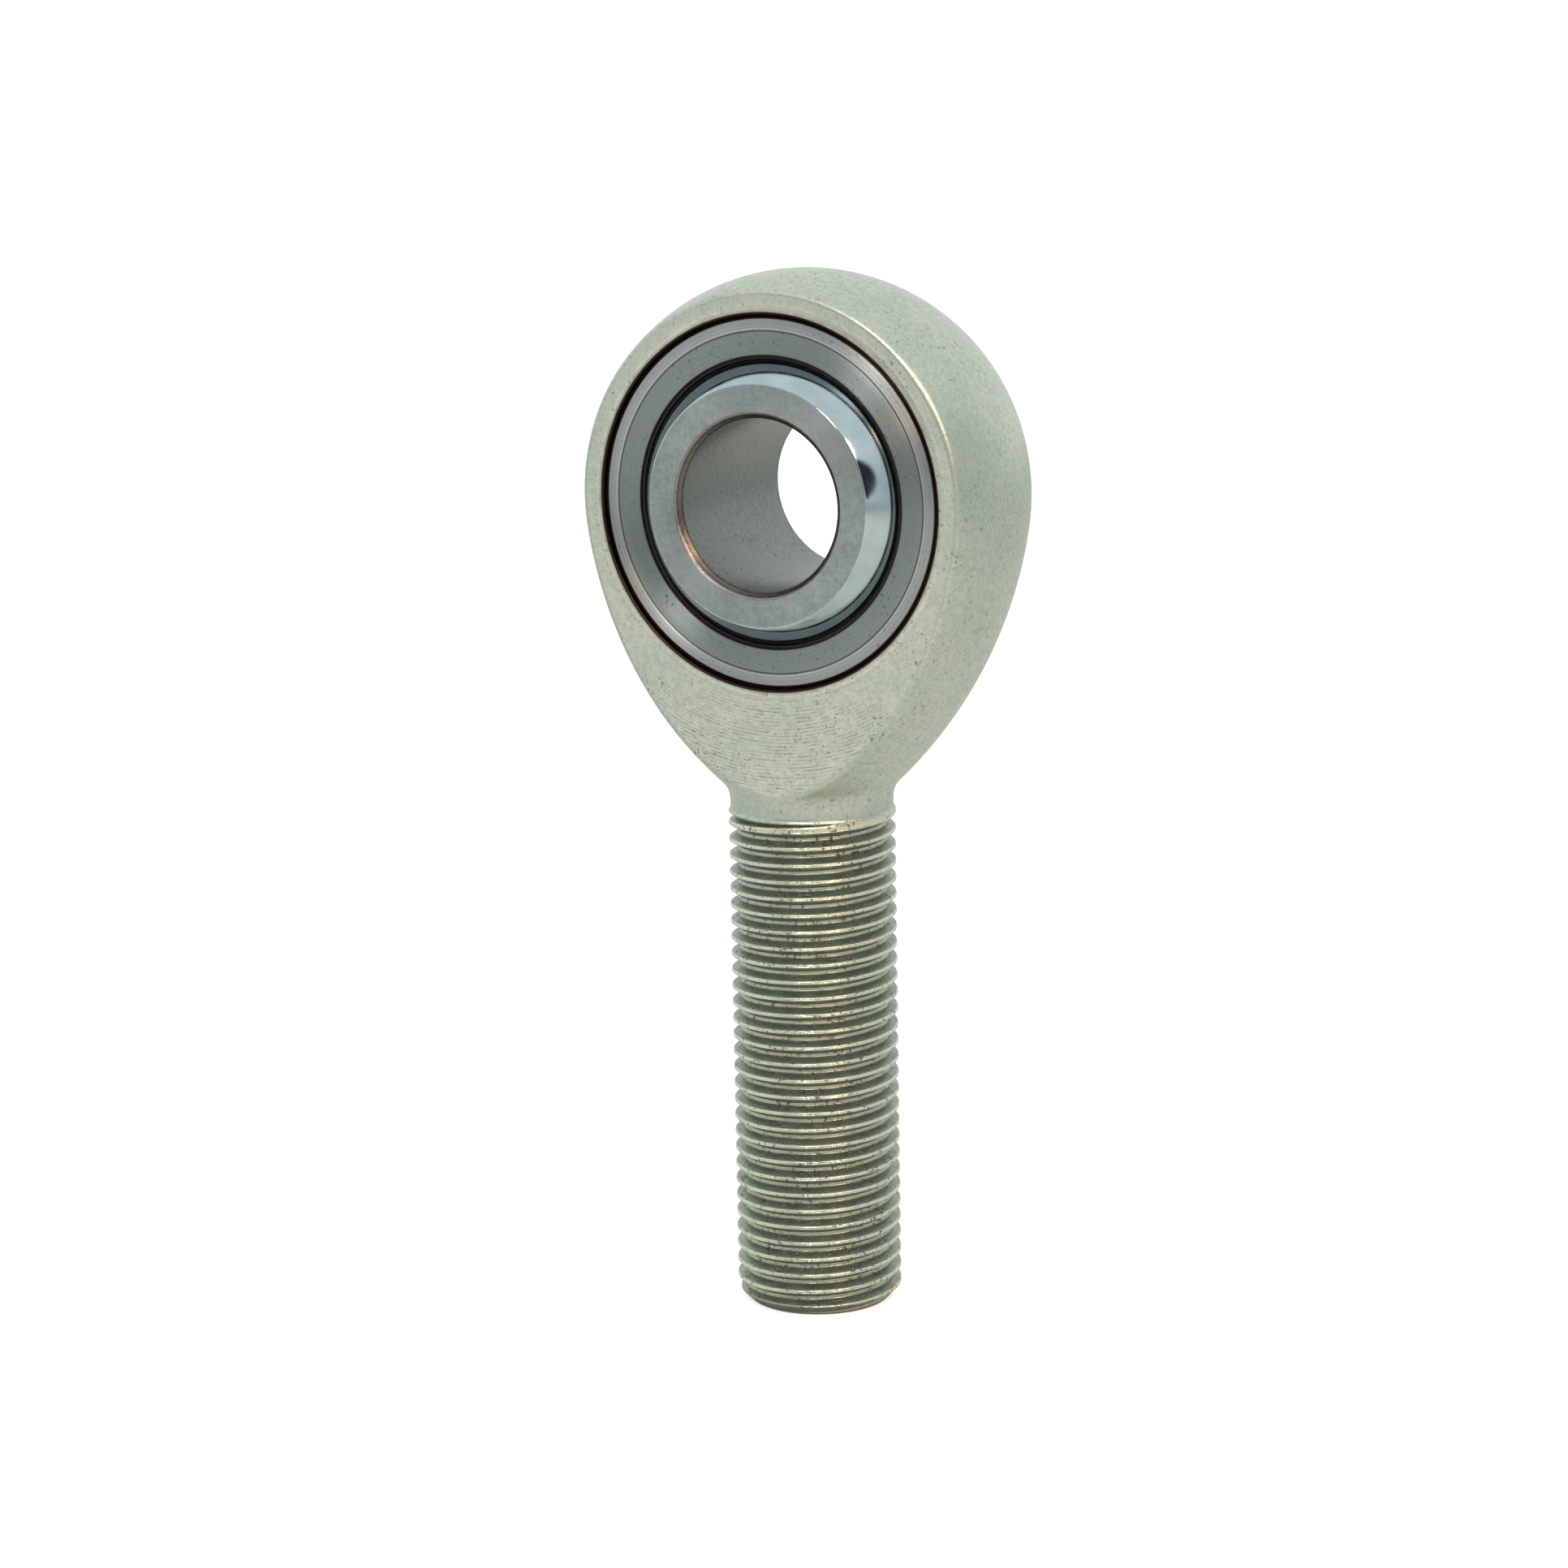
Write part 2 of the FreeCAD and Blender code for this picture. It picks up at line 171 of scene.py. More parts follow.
def rounded(profile, setbacks, steps=3):
    """A closed profile, rounded at the corners whose numbers have a setback."""
    longest = 0.45  # of a side, so that the roundings at its two ends never meet
    out = []
    count = len(profile)
    for i, (r, y) in enumerate(profile):
        if i not in setbacks:
            out.append((r, y))
            continue
        ends = []
        for other in (profile[i - 1], profile[(i + 1) % count]):
            length = math.hypot(other[0] - r, other[1] - y)
            share = min(setbacks[i] / length, longest)
            ends.append((r + (other[0] - r) * share, y + (other[1] - y) * share))
        for k in range(steps + 1):
            t = k / steps
            weights = ((1 - t) ** 2, 2 * t * (1 - t), t * t)
            corner = (ends[0], (r, y), ends[1])
            out.append(tuple(sum(w * p[axis] for w, p in zip(weights, corner)) for axis in (0, 1)))
    return out


def lathe(profile, segments, shift=None):
    """Rings of points about the Y axis for a closed profile of (r, y).

    shift, if given, works out a new y from the turn, in radians, and the old one.
    """
    rings = []
    for r, y in profile + profile[:1]:
        circle = []
        for k in range(segments):
            turn = 2 * math.pi * k / segments
            circle.append((r * math.sin(turn), shift(turn, y) if shift else y, -r * math.cos(turn)))
        rings.append(circle)
    return rings


# ---------------------------------------------------------------- the eye and the flats
# The turned outline, from the top down: the eye's sphere, a convex shoulder arc that leaves it at the
# angle LEAVE below level, a hollow arc from MEET_Z to HOLLOW_Z, and the straight neck.
LEAVE = math.asin(SHOULDER_DROP / EYE_RADIUS)
SHOULDER_R = (EYE_RADIUS - SHOULDER_RADIUS) * math.cos(LEAVE)
SHOULDER_Z = (SHOULDER_RADIUS - EYE_RADIUS) * math.sin(LEAVE)
HOLLOW_R = NECK_RADIUS + NECK_FILLET
HOLLOW_Z = SHOULDER_Z - math.sqrt(
    (SHOULDER_RADIUS + NECK_FILLET) ** 2 - (HOLLOW_R - SHOULDER_R) ** 2
)
MEET_Z = SHOULDER_Z + (HOLLOW_Z - SHOULDER_Z) * SHOULDER_RADIUS / (SHOULDER_RADIUS + NECK_FILLET)


def turned_radius(z):
    """Radius of the turned eye about the shank's axis, at height z."""
    if z > -SHOULDER_DROP:
        return math.sqrt(max(EYE_RADIUS**2 - z * z, 0))
    if z > MEET_Z:
        return SHOULDER_R + math.sqrt(SHOULDER_RADIUS**2 - (z - SHOULDER_Z) ** 2)
    if z > HOLLOW_Z:
        return HOLLOW_R - math.sqrt(NECK_FILLET**2 - (z - HOLLOW_Z) ** 2)
    return NECK_RADIUS


def solve(low, high, is_below, steps=40):
    """The crossing between low, where is_below holds, and high, where it doesn't."""
    for _ in range(steps):
        middle = (low + high) / 2
        if is_below(middle):
            low = middle
        else:
            high = middle
    return (low + high) / 2


def barrel_point(swing, y):
    """Point of the turned surface at depth y, in the half plane at angle swing from straight down."""
    across, down = math.sin(swing), math.cos(swing)
    reach = solve(
        RACE_RADIUS,
        2 * EYE_RADIUS,
        lambda rho: math.hypot(rho * across, y) < turned_radius(-rho * down),
    )
    return (reach * across, y, -reach * down)


# Columns of points run up the shank and the neck. At the eye they part: some go round its barrel, and
# the others end at the tongues, where the flats run down into the neck.
COLUMNS = 144
STEP = 2 * math.pi / COLUMNS
SIDE = 16                             # columns each side of the X axis on one side of the eye
CORNER = SIDE * STEP                  # azimuth from +X where the side meets the tongue of a flat
TONGUE = COLUMNS // 2 - 2 * SIDE - 1  # columns inside one tongue
BARREL_STEPS = 132                    # points round the barrel, from one corner over the top

CORNER_RADIUS = EYE_HALF / math.sin(CORNER)
CORNER_Z = solve(MEET_Z, 0, lambda z: turned_radius(z) < CORNER_RADIUS)
CORNER_SWING = math.atan2(CORNER_RADIUS * math.cos(CORNER), -CORNER_Z)


def side_depths():
    """Depths y of the points across the barrel, from the front fillet to the back one."""
    reach = EYE_HALF - EYE_FILLET
    return [reach * math.sin(k * STEP) / math.sin(CORNER) for k in range(-SIDE, SIDE + 1)]


def barrel_swings():
    """Angles from straight down of the rows round the barrel, from the corner at +X to the other."""
    span = 2 * math.pi - 2 * CORNER_SWING
    return [CORNER_SWING + span * k / BARREL_STEPS for k in range(BARREL_STEPS + 1)]


def toward(start, end, distance):
    """The point at a distance from start on the way to end."""
    start, end = Vector(start), Vector(end)
    return tuple(start + (end - start).normalized() * distance)


def bezier(start, corner, end, steps=4):
    """Points along the curve that leaves start and reaches end in line with corner."""
    start, corner, end = Vector(start), Vector(corner), Vector(end)
    out = []
    for k in range(steps + 1):
        t = k / steps
        out.append(tuple(start * (1 - t) ** 2 + corner * 2 * t * (1 - t) + end * t * t))
    return out


def tongue_edge(azimuth, sign):
    """Where the flat at depth sign * EYE_HALF cuts the turned surface, below the eye."""
    radius = EYE_HALF / abs(math.sin(azimuth))
    z = solve(HOLLOW_Z, 0, lambda height: turned_radius(height) < radius)
    return (radius * math.cos(azimuth), sign * EYE_HALF, z)


def below_edge(azimuth, sign):
    """Start of the edge fillet on the turned surface, just under the tongue's edge."""
    edge = tongue_edge(azimuth, sign)
    z = edge[2] - EYE_FILLET
    radius = turned_radius(z)
    return (radius * math.cos(azimuth), radius * math.sin(azimuth), z)


def edge_loop(sign):
    """Samples round one flat, from the corner at +X over the top and back under the tongue.

    Each sample is (fillet start on the flat, sharp corner, fillet start on the turned surface).
    """
    samples = []
    for swing in barrel_swings():
        corner = barrel_point(swing, sign * EYE_HALF)
        outer = barrel_point(swing, sign * (EYE_HALF - EYE_FILLET))
        samples.append((toward(corner, (0, corner[1], 0), EYE_FILLET), corner, outer))
    for k in range(1, TONGUE + 1):
        azimuth = sign * (math.pi - CORNER - k * STEP)
        corner = tongue_edge(azimuth, sign)
        inner = toward(corner, (0, corner[1], 0), EYE_FILLET)
        samples.append((inner, corner, below_edge(azimuth, sign)))
    return samples


# The rolled rim of the race's seat: (distance out from the seat, height above the flat).
LIP = [
    (0.0, -0.45),
    (0.0, -0.14),
    (0.03, -0.05),
    (0.10, 0.01),
    (0.22, 0.04),
    (0.40, 0.045),
    (0.52, 0.015),
    (0.58, -0.03),
    (0.66, -0.035),
    (0.74, 0.0),
    (0.90, 0.0),
]
LIP_CREST = 0.3          # the lip is uneven from this far out
LIP_LEAST = 0.35         # share of its height that is left where it is lowest
LIP_LUMPS = 9            # how fast the unevenness varies round a circle of radius 1
LIP_PLACE = 3.0          # where it is sampled, times sign, so that the two sides differ
FLAT_ROWS = 7            # rows between the lip and the fillet at the flat's edge


def flat_rows(sign, samples):
    """Rows of points from the seat's wall, over the rolled lip and out to the edge fillet."""
    rows = [[] for _ in range(len(LIP) + FLAT_ROWS)]
    for inner, _, _ in samples:
        swing = math.atan2(inner[0], -inner[2])
        across, down = math.sin(swing), -math.cos(swing)
        spot = Vector((across * LIP_LUMPS, sign * LIP_PLACE, down * LIP_LUMPS))
        kept = LIP_LEAST + (1 - LIP_LEAST) * noise.noise(spot) ** 2
        for number, (out, height) in enumerate(LIP):
            radius = RACE_RADIUS + out
            lift = height * kept if out > LIP_CREST else height
            rows[number].append((radius * across, sign * (EYE_HALF + lift), radius * down))
        start = Vector(rows[len(LIP) - 1][-1])
        for k in range(1, FLAT_ROWS + 1):
            rows[len(LIP) - 1 + k].append(tuple(start.lerp(Vector(inner), k / FLAT_ROWS)))
    return rows


def lower_columns():
    """Top points of the columns between the neck and the eye, in order of azimuth from +X."""
    depths = side_depths()
    right = [barrel_point(CORNER_SWING, y) for y in depths]
    left = [(-x, y, z) for x, y, z in reversed(right)]
    back = [below_edge(CORNER + k * STEP, 1) for k in range(1, TONGUE + 1)]
    front = [below_edge(-math.pi + CORNER + k * STEP, -1) for k in range(1, TONGUE + 1)]
    return right + back + left + front


# ---------------------------------------------------------------- the thread, neck and shank's end
STEP_RADIUS = CREST - 0.02          # the shank's upper edge, where the neck steps in
END_RADIUS = CREST - END_CHAMFER
ROOT_FILL = 0.05                    # how much fuller the middle of the root is than its sides
ROOT_FILL_HALF = 1.6 * ROOT_HALF
CREST_WORN = 0.012                  # mean wear of the crest
CREST_UNEVEN = 0.014                # how much the wear varies
NICK_DEPTH = 0.10
NICK_LEVEL = 0.42                   # the noise makes a nick above this
SEAM_DEPTH = 0.028                  # the faint seam along the middle of a rolled crest
SEAM_HALF = 0.06
CREST_BLEND = 0.09
CHAMFER_BLEND = 0.10

# Offsets along the axis, from the middle of one groove to the middle of the crest above it. They are
# closest where the flank rounds over into the crest.
HALF_PITCH_ROWS = [0.0, 0.06, 0.11, 0.19, 0.29, 0.39, 0.47, 0.52, 0.555, 0.585, 0.61]
TURNS_BELOW = 2                     # turns beyond the full ones. What would lie past either end of
TURNS_ABOVE = 4                     # the shank is drawn onto that end


def shank_noise(azimuth, z, round_scale, along_scale, place=0):
    """Noise on the shank's surface. place moves the sample, so that two noises differ."""
    x, y = math.cos(azimuth) * round_scale, math.sin(azimuth) * round_scale
    return noise.noise(Vector((x, y, z * along_scale + place)))


def thread_radius(turns, offset, azimuth, z):
    """Radius of the threaded shank. turns counts grooves up from the first, offset is along the axis."""
    past = max(turns - FULL_TURNS - RUN_OUT_START, 0)
    floor = CREST - THREAD_DEPTH + past * RUN_OUT_GROWTH
    flank = floor + max(abs(offset) - ROOT_HALF, 0) * FLANK_SLOPE
    flank += ROOT_FILL * max(1 - abs(offset) / ROOT_FILL_HALF, 0) ** 2
    wear = shank_noise(azimuth, z, round_scale=4, along_scale=1.9)
    nick = shank_noise(azimuth, z, round_scale=9, along_scale=2.7, place=40)
    crest = CREST - CREST_WORN - CREST_UNEVEN * wear - NICK_DEPTH * max(nick - NICK_LEVEL, 0)
    seam = 1 - min(abs(abs(offset) - PITCH / 2) / SEAM_HALF, 1)
    crest -= SEAM_DEPTH * seam * seam * (3 - 2 * seam)
    radius = smooth_low(flank, crest, CREST_BLEND)
    from_end = z - SHANK_END
    if from_end < 2 * END_CHAMFER:
        radius = smooth_low(radius, END_RADIUS + from_end, CHAMFER_BLEND)
    return radius


def thread_rows():
    """Rows that follow the helix, from below the shank's end to above the thread's top."""
    offsets = [-step for step in reversed(HALF_PITCH_ROWS[1:])] + HALF_PITCH_ROWS + [PITCH / 2]
    rows = []
    first = GROOVE_TOP - FULL_TURNS * PITCH  # height of the first groove, at azimuth 0
    for groove in range(-TURNS_BELOW, FULL_TURNS + TURNS_ABOVE):
        for offset in offsets:
            row = []
            for k in range(COLUMNS):
                azimuth = k * STEP
                turns = groove + k / COLUMNS
                z = first + turns * PITCH + offset
                inside = min(max(z, SHANK_END), THREAD_TOP)
                radius = thread_radius(turns, offset + inside - z, azimuth, inside)
                if inside >= THREAD_TOP:
                    radius = STEP_RADIUS
                if inside <= SHANK_END:
                    radius = END_RADIUS
                row.append((radius * math.cos(azimuth), radius * math.sin(azimuth), inside))
            rows.append(row)
    return rows, len(offsets)


def add_thread(skin, slot):
    """The helical rows are one long spiral strip, so the last column joins the next turn's first."""
    rows, per_turn = thread_rows()
    points = [point for row in rows for point in row]
    faces = []
    for i in range(len(rows) - 1 - per_turn):
        for j in range(COLUMNS):
            if j < COLUMNS - 1:
                right = (i * COLUMNS + j + 1, (i + 1) * COLUMNS + j + 1)
            else:
                right = ((i + per_turn) * COLUMNS, (i + per_turn + 1) * COLUMNS)
            faces.append([i * COLUMNS + j, right[0], right[1], (i + 1) * COLUMNS + j])
    used = [face for face in faces if not is_flat_end(points, face)]
    skin.add_faces(points, used, slot)


def is_flat_end(points, face):
    """True for the faces above or below the thread, which collapse onto one ring."""
    heights = [points[corner][2] for corner in face]
    return min(heights) >= THREAD_TOP or max(heights) <= SHANK_END


def ring(radius, z):
    """A level circle with one point for each column, from azimuth 0."""
    return [(radius * math.cos(k * STEP), radius * math.sin(k * STEP), z) for k in range(COLUMNS)]


STEP_FILLET = 0.25                  # height of the small hollow where the neck meets the step
STEP_FILLET_POINT = (0.06, 0.10)    # a point of that hollow: out from the neck, up from the step
SHOULDER_ROWS = 16


def add_neck(skin, slot):
    """From the thread's top, up the neck and the shoulder, to the columns' top points."""
    tops = lower_columns()
    rows = [
        ring(STEP_RADIUS, THREAD_TOP),
        ring(NECK_RADIUS + STEP_FILLET_POINT[0], THREAD_TOP + STEP_FILLET_POINT[1]),
        ring(NECK_RADIUS, THREAD_TOP + STEP_FILLET),
        ring(NECK_RADIUS, (THREAD_TOP + HOLLOW_Z) / 2),
        ring(NECK_RADIUS, HOLLOW_Z),
    ]
    rows = [row[-SIDE:] + row[:-SIDE] for row in rows]
    for step in range(1, SHOULDER_ROWS + 1):
        share = step / SHOULDER_ROWS
        row = []
        for k, top in enumerate(tops):
            start = (k - SIDE) * STEP
            turn = math.atan2(top[1], top[0]) - start
            turn = (turn + math.pi) % (2 * math.pi) - math.pi
            z = HOLLOW_Z + (top[2] - HOLLOW_Z) * share
            azimuth = start + turn * share * share
            radius = turned_radius(z)
            row.append((radius * math.cos(azimuth), radius * math.sin(azimuth), z))
        rows.append(row)
    skin.grid(rows, slot, closed=True)


END_DISH = 0.02
END_RINGS = (0.97, 0.8, 0.6, 0.4, 0.2)


def add_end_face(skin, slot):
    """The turned end of the shank, very slightly dished."""
    rows = [ring(END_RADIUS, SHANK_END)]
    rows += [ring(END_RADIUS * share, SHANK_END + END_DISH) for share in END_RINGS]
    skin.grid(rows, slot, closed=True)
    centre = COLUMNS
    fan = [[k, (k + 1) % COLUMNS, centre] for k in range(COLUMNS)]
    skin.add_faces([*rows[-1], (0, 0, SHANK_END + END_DISH)], fan, slot)


TURNED, MILLED, THREADED = range(3)  # the body's material numbers


def make_body(turned, milled, threaded):
    """The eye with its two flats, the neck and the threaded shank, as one skin."""
    skin = Skin("eye_and_shank", [turned, milled, threaded])
    barrel = [[barrel_point(swing, y) for y in side_depths()] for swing in barrel_swings()]
    skin.grid(barrel, TURNED)
    walls = []
    for sign in (-1, 1):
        samples = edge_loop(sign)
        corners = [bezier(*sample) for sample in samples]
        skin.grid([list(row) for row in zip(*corners)], TURNED, closed=True)
        rows = flat_rows(sign, samples)
        skin.grid(rows, MILLED, closed=True)
        walls.append(rows[0])
    skin.grid(walls, TURNED, closed=True)
    add_neck(skin, TURNED)
    add_thread(skin, THREADED)
    add_end_face(skin, TURNED)
    return skin.build("housing", "rod_end_body")


# ---------------------------------------------------------------- the race, the liner and the ball
RACE_LINE = RACE_DISH - 0.09        # the middle of the fine turned line in the race's face
EYE_GAP = 0.02                      # between the race and the eye, so that no two skins coincide
SEAT_GAP = 0.01                     # between the liner and the race
EDGE_FRAY = 0.05                    # how far the liner's cut edges are drawn in
FRAYED_BAND = 0.12                  # points this near to an edge move with it
SEAT_STEPS = 24                     # points along the arcs, and round the rings
LINER_STEPS = 22
SPHERE_STEPS = 44
RING_COLUMNS = 192
LINER_COLUMNS = 240


def make_race(material):
    """The race: a spherical seat, dished faces with a fine turned line, and chamfered rims."""
    seat_angle = math.asin(RACE_MOUTH_HALF / SEAT_RADIUS)
    seat = arc_points(SEAT_RADIUS, -seat_angle, seat_angle, SEAT_STEPS)
    mouth = seat[-1][0]
    face = [
        (mouth + 0.05, RACE_MOUTH_HALF + 0.02),
        (mouth + 0.35, RACE_MOUTH_HALF + 0.045),
        (RACE_DISH - 0.75, RACE_HALF - 0.10),
        (RACE_DISH - 0.16, RACE_HALF - 0.035),
        (RACE_LINE, RACE_HALF - 0.075),
        (RACE_DISH - 0.03, RACE_HALF - 0.015),
        (RACE_DISH + 0.12, RACE_HALF),
        (RACE_RADIUS - RACE_CHAMFER - 0.10, RACE_HALF - 0.01),
        (RACE_RADIUS - RACE_CHAMFER, RACE_HALF - 0.04),
        (RACE_RADIUS - EYE_GAP, RACE_HALF - RACE_CHAMFER),
        (RACE_RADIUS - EYE_GAP, RACE_HALF - RACE_CHAMFER - 0.15),
    ]
    profile = seat + face + [(r, -y) for r, y in reversed(face)]
    skin = Skin("race_ring", [material])
    skin.grid(lathe(profile, RING_COLUMNS), closed=True)
    return skin.build("housing", "outer_race")


def frayed(turn, y):
    """The liner's y with its cut edges drawn in a little unevenly."""
    if abs(y) <= LINER_HALF - FRAYED_BAND:
        return y
    spot = Vector((math.sin(turn) * 7, y, math.cos(turn) * 7))
    waves = 0.05 * noise.noise(spot * 1.7)
    threads = 0.03 * noise.noise(spot * 6)
    return y + math.copysign(waves + threads - EDGE_FRAY, y)


def make_liner(material):
    """The liner: a thin ring between the ball and the race's seat."""
    inner_angle = math.asin(LINER_HALF / LINER_INNER)
    outer_angle = math.asin(LINER_HALF / SEAT_RADIUS)
    inner = arc_points(LINER_INNER, -inner_angle, inner_angle, LINER_STEPS)
    outer = arc_points(SEAT_RADIUS - SEAT_GAP, outer_angle, -outer_angle, LINER_STEPS)
    skin = Skin("liner_ring", [material])
    skin.grid(lathe(inner + outer, LINER_COLUMNS, frayed), closed=True)
    return skin.build("housing", "liner")


SPHERE, FACE, BORED = range(3)       # the ball's material numbers


def make_ball(chrome, ground, bored):
    """The ball: chromed sphere, ground side faces, and a bore with broken edges."""
    flat_angle = math.asin(BALL_HALF / BALL_RADIUS)
    sphere = arc_points(BALL_RADIUS, -flat_angle, flat_angle, SPHERE_STEPS)
    edge = sphere[-1][0]
    mouth = BORE + BORE_CHAMFER
    side = [
        (mouth, BALL_HALF),
        (mouth - 0.22, BALL_HALF - 0.17),
        (mouth - 0.27, BALL_HALF - 0.27),
        (BORE, BALL_HALF - BORE_CHAMFER),
    ]
    corners = sphere + side + [(r, -y) for r, y in reversed(side)]
    count = len(sphere)
    last = len(corners) - 1
    setbacks = {0: 0.10, count - 1: 0.10}            # the sphere's two edges
    setbacks.update({count: 0.06, last: 0.06})       # where the faces meet the broken edges
    setbacks.update({count + 3: 0.08, count + 4: 0.08})  # where the broken edges meet the bore
    profile = rounded(corners, setbacks)
    rings = lathe(profile, RING_COLUMNS)
    skin = Skin("swivel_ball", [chrome, ground, bored])
    for i, (start, end) in enumerate(zip(profile, profile[1:] + profile[:1])):
        skin.grid([rings[i], rings[i + 1]], ball_slot(start, end, edge, mouth), closed=True)
    return skin.build("ball", "ball")


def ball_slot(start, end, edge, mouth):
    """The material of one strip of the ball. The bore's material also covers its broken edges."""
    radius = (start[0] + end[0]) / 2
    height = abs(start[1] + end[1]) / 2
    if radius < mouth - 0.01:
        return BORED
    if radius < edge and height > BALL_HALF - 0.02:
        return FACE
    return SPHERE


# ---------------------------------------------------------------- materials
MIX_A, MIX_B = 6, 7                  # the two colour inputs of a mix node
MIX_RESULT = 2                       # and its colour output


class Graph:
    """A short way to write a material's node tree."""

    def __init__(self, name):
        self.material = bpy.data.materials.new(name)
        self.material.use_nodes = True
        self.tree = self.material.node_tree
        self.shader = self.tree.nodes["Principled BSDF"]
        self.place = self.node("ShaderNodeTexCoord").outputs["Object"]
        self.parts = self.node("ShaderNodeSeparateXYZ", {0: self.place}).outputs

    def node(self, kind, inputs=(), **settings):
        node = self.tree.nodes.new(kind)
        for key, value in settings.items():
            setattr(node, key, value)
        for key, value in dict(inputs).items():
            self.set(node.inputs[key], value)
        return node

    def set(self, socket, value):
        """Links the socket to value if that is another socket, and fills it in otherwise."""
        if isinstance(value, bpy.types.NodeSocket):
            self.tree.links.new(value, socket)
        else:
            socket.default_value = value

    def math(self, operation, a, b=0.0):
        return self.node("ShaderNodeMath", {0: a, 1: b}, operation=operation).outputs[0]

    def distance(self, first, second):
        """Distance from the axis that the two named coordinates are measured from."""
        squares = [self.math("MULTIPLY", self.parts[key], self.parts[key]) for key in (first, second)]
        return self.math("SQRT", self.math("ADD", *squares))

    def noise(self, scale, detail=3.0, roughness=0.55, vector=None, stretch=None):
        """Noise between 0 and 1. scale is in features per millimetre."""
        vector = self.place if vector is None else vector
        if stretch is not None:
            vector = self.node("ShaderNodeMapping", {0: vector, "Scale": stretch}).outputs[0]
        node = self.node(
            "ShaderNodeTexNoise",
            {"Vector": vector, "Scale": scale / MM, "Detail": detail, "Roughness": roughness},
        )
        return node.outputs[0]

    def ramp(self, value, low, high, start=0.0, end=1.0):
        """value between low and high, stretched to run from start to end."""
        node = self.node(
            "ShaderNodeMapRange",
            {"Value": value, "From Min": low, "From Max": high, "To Min": start, "To Max": end},
            interpolation_type="SMOOTHSTEP",
        )
        return node.outputs[0]

    def mix(self, share, a, b):
        """Colour a where share is 0 and colour b where it is 1."""
        node = self.node("ShaderNodeMix", {"Factor": share}, data_type="RGBA")
        for key, colour in ((MIX_A, a), (MIX_B, b)):
            self.set(node.inputs[key], colour if isinstance(colour, bpy.types.NodeSocket) else (*colour, 1))
        return node.outputs[MIX_RESULT]

    def rings(self, scale, detail=2.0):
        """Noise that doesn't change round the bore's axis, like the tool lines of a turned face."""
        inputs = {"X": self.distance("X", "Z"), "Y": self.parts["Y"]}
        line = self.node("ShaderNodeCombineXYZ", inputs)
        return self.noise(scale, detail, vector=line.outputs[0])

    def band(self, value, middle, half):
        """1 where value, in metres, is at middle millimetres, falling to 0 at half away."""
        away = self.math("ABSOLUTE", self.math("SUBTRACT", value, middle * MM))
        return self.ramp(away, half * MM, 0.25 * half * MM)

    def specks(self, scale, low, high):
        """Small dark pits that come in patches."""
        patches = self.ramp(self.noise(0.35, 3.0), 0.35, 0.65, 0.25, 1.0)
        return self.math("MULTIPLY", self.ramp(self.noise(scale, 2.0, 0.6), low, high), patches)

    def up(self):
        """How far the smooth surface faces up, from -1 to 1, in the object's own frame."""
        normal = self.node("ShaderNodeTexCoord").outputs["Normal"]
        return self.node("ShaderNodeSeparateXYZ", {0: normal}).outputs["Z"]

    def bump(self, height, distance, below=None):
        """Bump of a given real depth, in millimetres."""
        inputs = {"Height": height, "Distance": distance * MM, "Strength": 1.0}
        if below is not None:
            inputs["Normal"] = below
        return self.node("ShaderNodeBump", inputs).outputs[0]

    def turned(self, amount):
        """Stretches the gloss across the tool lines that run round the bore's axis."""
        tangent = self.node("ShaderNodeTangent", direction_type="RADIAL", axis="Y")
        self.set(self.shader.inputs["Tangent"], tangent.outputs[0])
        self.shader.inputs["Anisotropic"].default_value = amount
        self.shader.inputs["Anisotropic Rotation"].default_value = 0.25

    def finish(self, colour, roughness, normal, metallic=1.0):
        """Fills in the shader and gives the material."""
        self.set(self.shader.inputs["Base Color"], colour)
        self.set(self.shader.inputs["Roughness"], roughness)
        self.set(self.shader.inputs["Normal"], normal)
        self.shader.inputs["Metallic"].default_value = metallic
        return self.material


# Painted shade: the dark brown that darkens the gaps round the race, on the flat's lip and on the race's
# rim and mouth.
GAP_SHADE = (0.030, 0.020, 0.014)
RUST = (0.20, 0.11, 0.06)
GAP_SHADE_REACH = 0.16                   # how far the painted shade of the gap round the race reaches onto the flat
MILLING_STEP = 0.26
MILLING_WAVER = 4.0                  # radians by which the milling lines wander
MILLING_START = -13.0                # heights between which the milling lines fade in
MILLING_FULL = -15.5


def add_milling(graph, colour, normal):
    """Shallow arcs of a milling cutter, on the part of the flat below the eye."""
    waver = graph.math("MULTIPLY", graph.noise(0.12, 2.0), MILLING_WAVER)
    steps = graph.math("MULTIPLY", graph.distance("X", "Z"), 2 * math.pi / (MILLING_STEP * MM))
    wave = graph.math("SINE", graph.math("ADD", steps, waver))
    broken = graph.ramp(graph.noise(1.1, 3.0, 0.7, stretch=(0.5, 1, 2)), 0.42, 0.60)
    below_eye = graph.ramp(graph.parts["Z"], MILLING_START * MM, MILLING_FULL * MM)
    lines = graph.math("MULTIPLY", graph.ramp(wave, 0.35, 0.95), below_eye)
    marks = graph.math("MULTIPLY", lines, broken)
    colour = graph.mix(graph.math("MULTIPLY", marks, 0.6), colour, (0.14, 0.145, 0.11))
    return colour, graph.bump(lines, -0.012, below=normal)


def add_gap_shade_and_rust(graph, colour):
    """Painted shade on the lip round the race, next to its gap, with a thin rusty edge outside it."""
    radius = graph.distance("X", "Z")
    gap = RACE_RADIUS + GAP_SHADE_REACH
    uneven = graph.math("MULTIPLY", graph.noise(0.8, 3.0), 0.5 * MM)
    edge = graph.ramp(graph.math("ADD", radius, uneven), (gap + 0.55) * MM, (gap + 0.22) * MM)
    colour = graph.mix(graph.math("MULTIPLY", edge, 0.45), colour, RUST)
    # Painted shade: the lip is darkened next to the gap round the race.
    return graph.mix(graph.ramp(radius, (gap + 0.06) * MM, gap * MM), colour, GAP_SHADE)


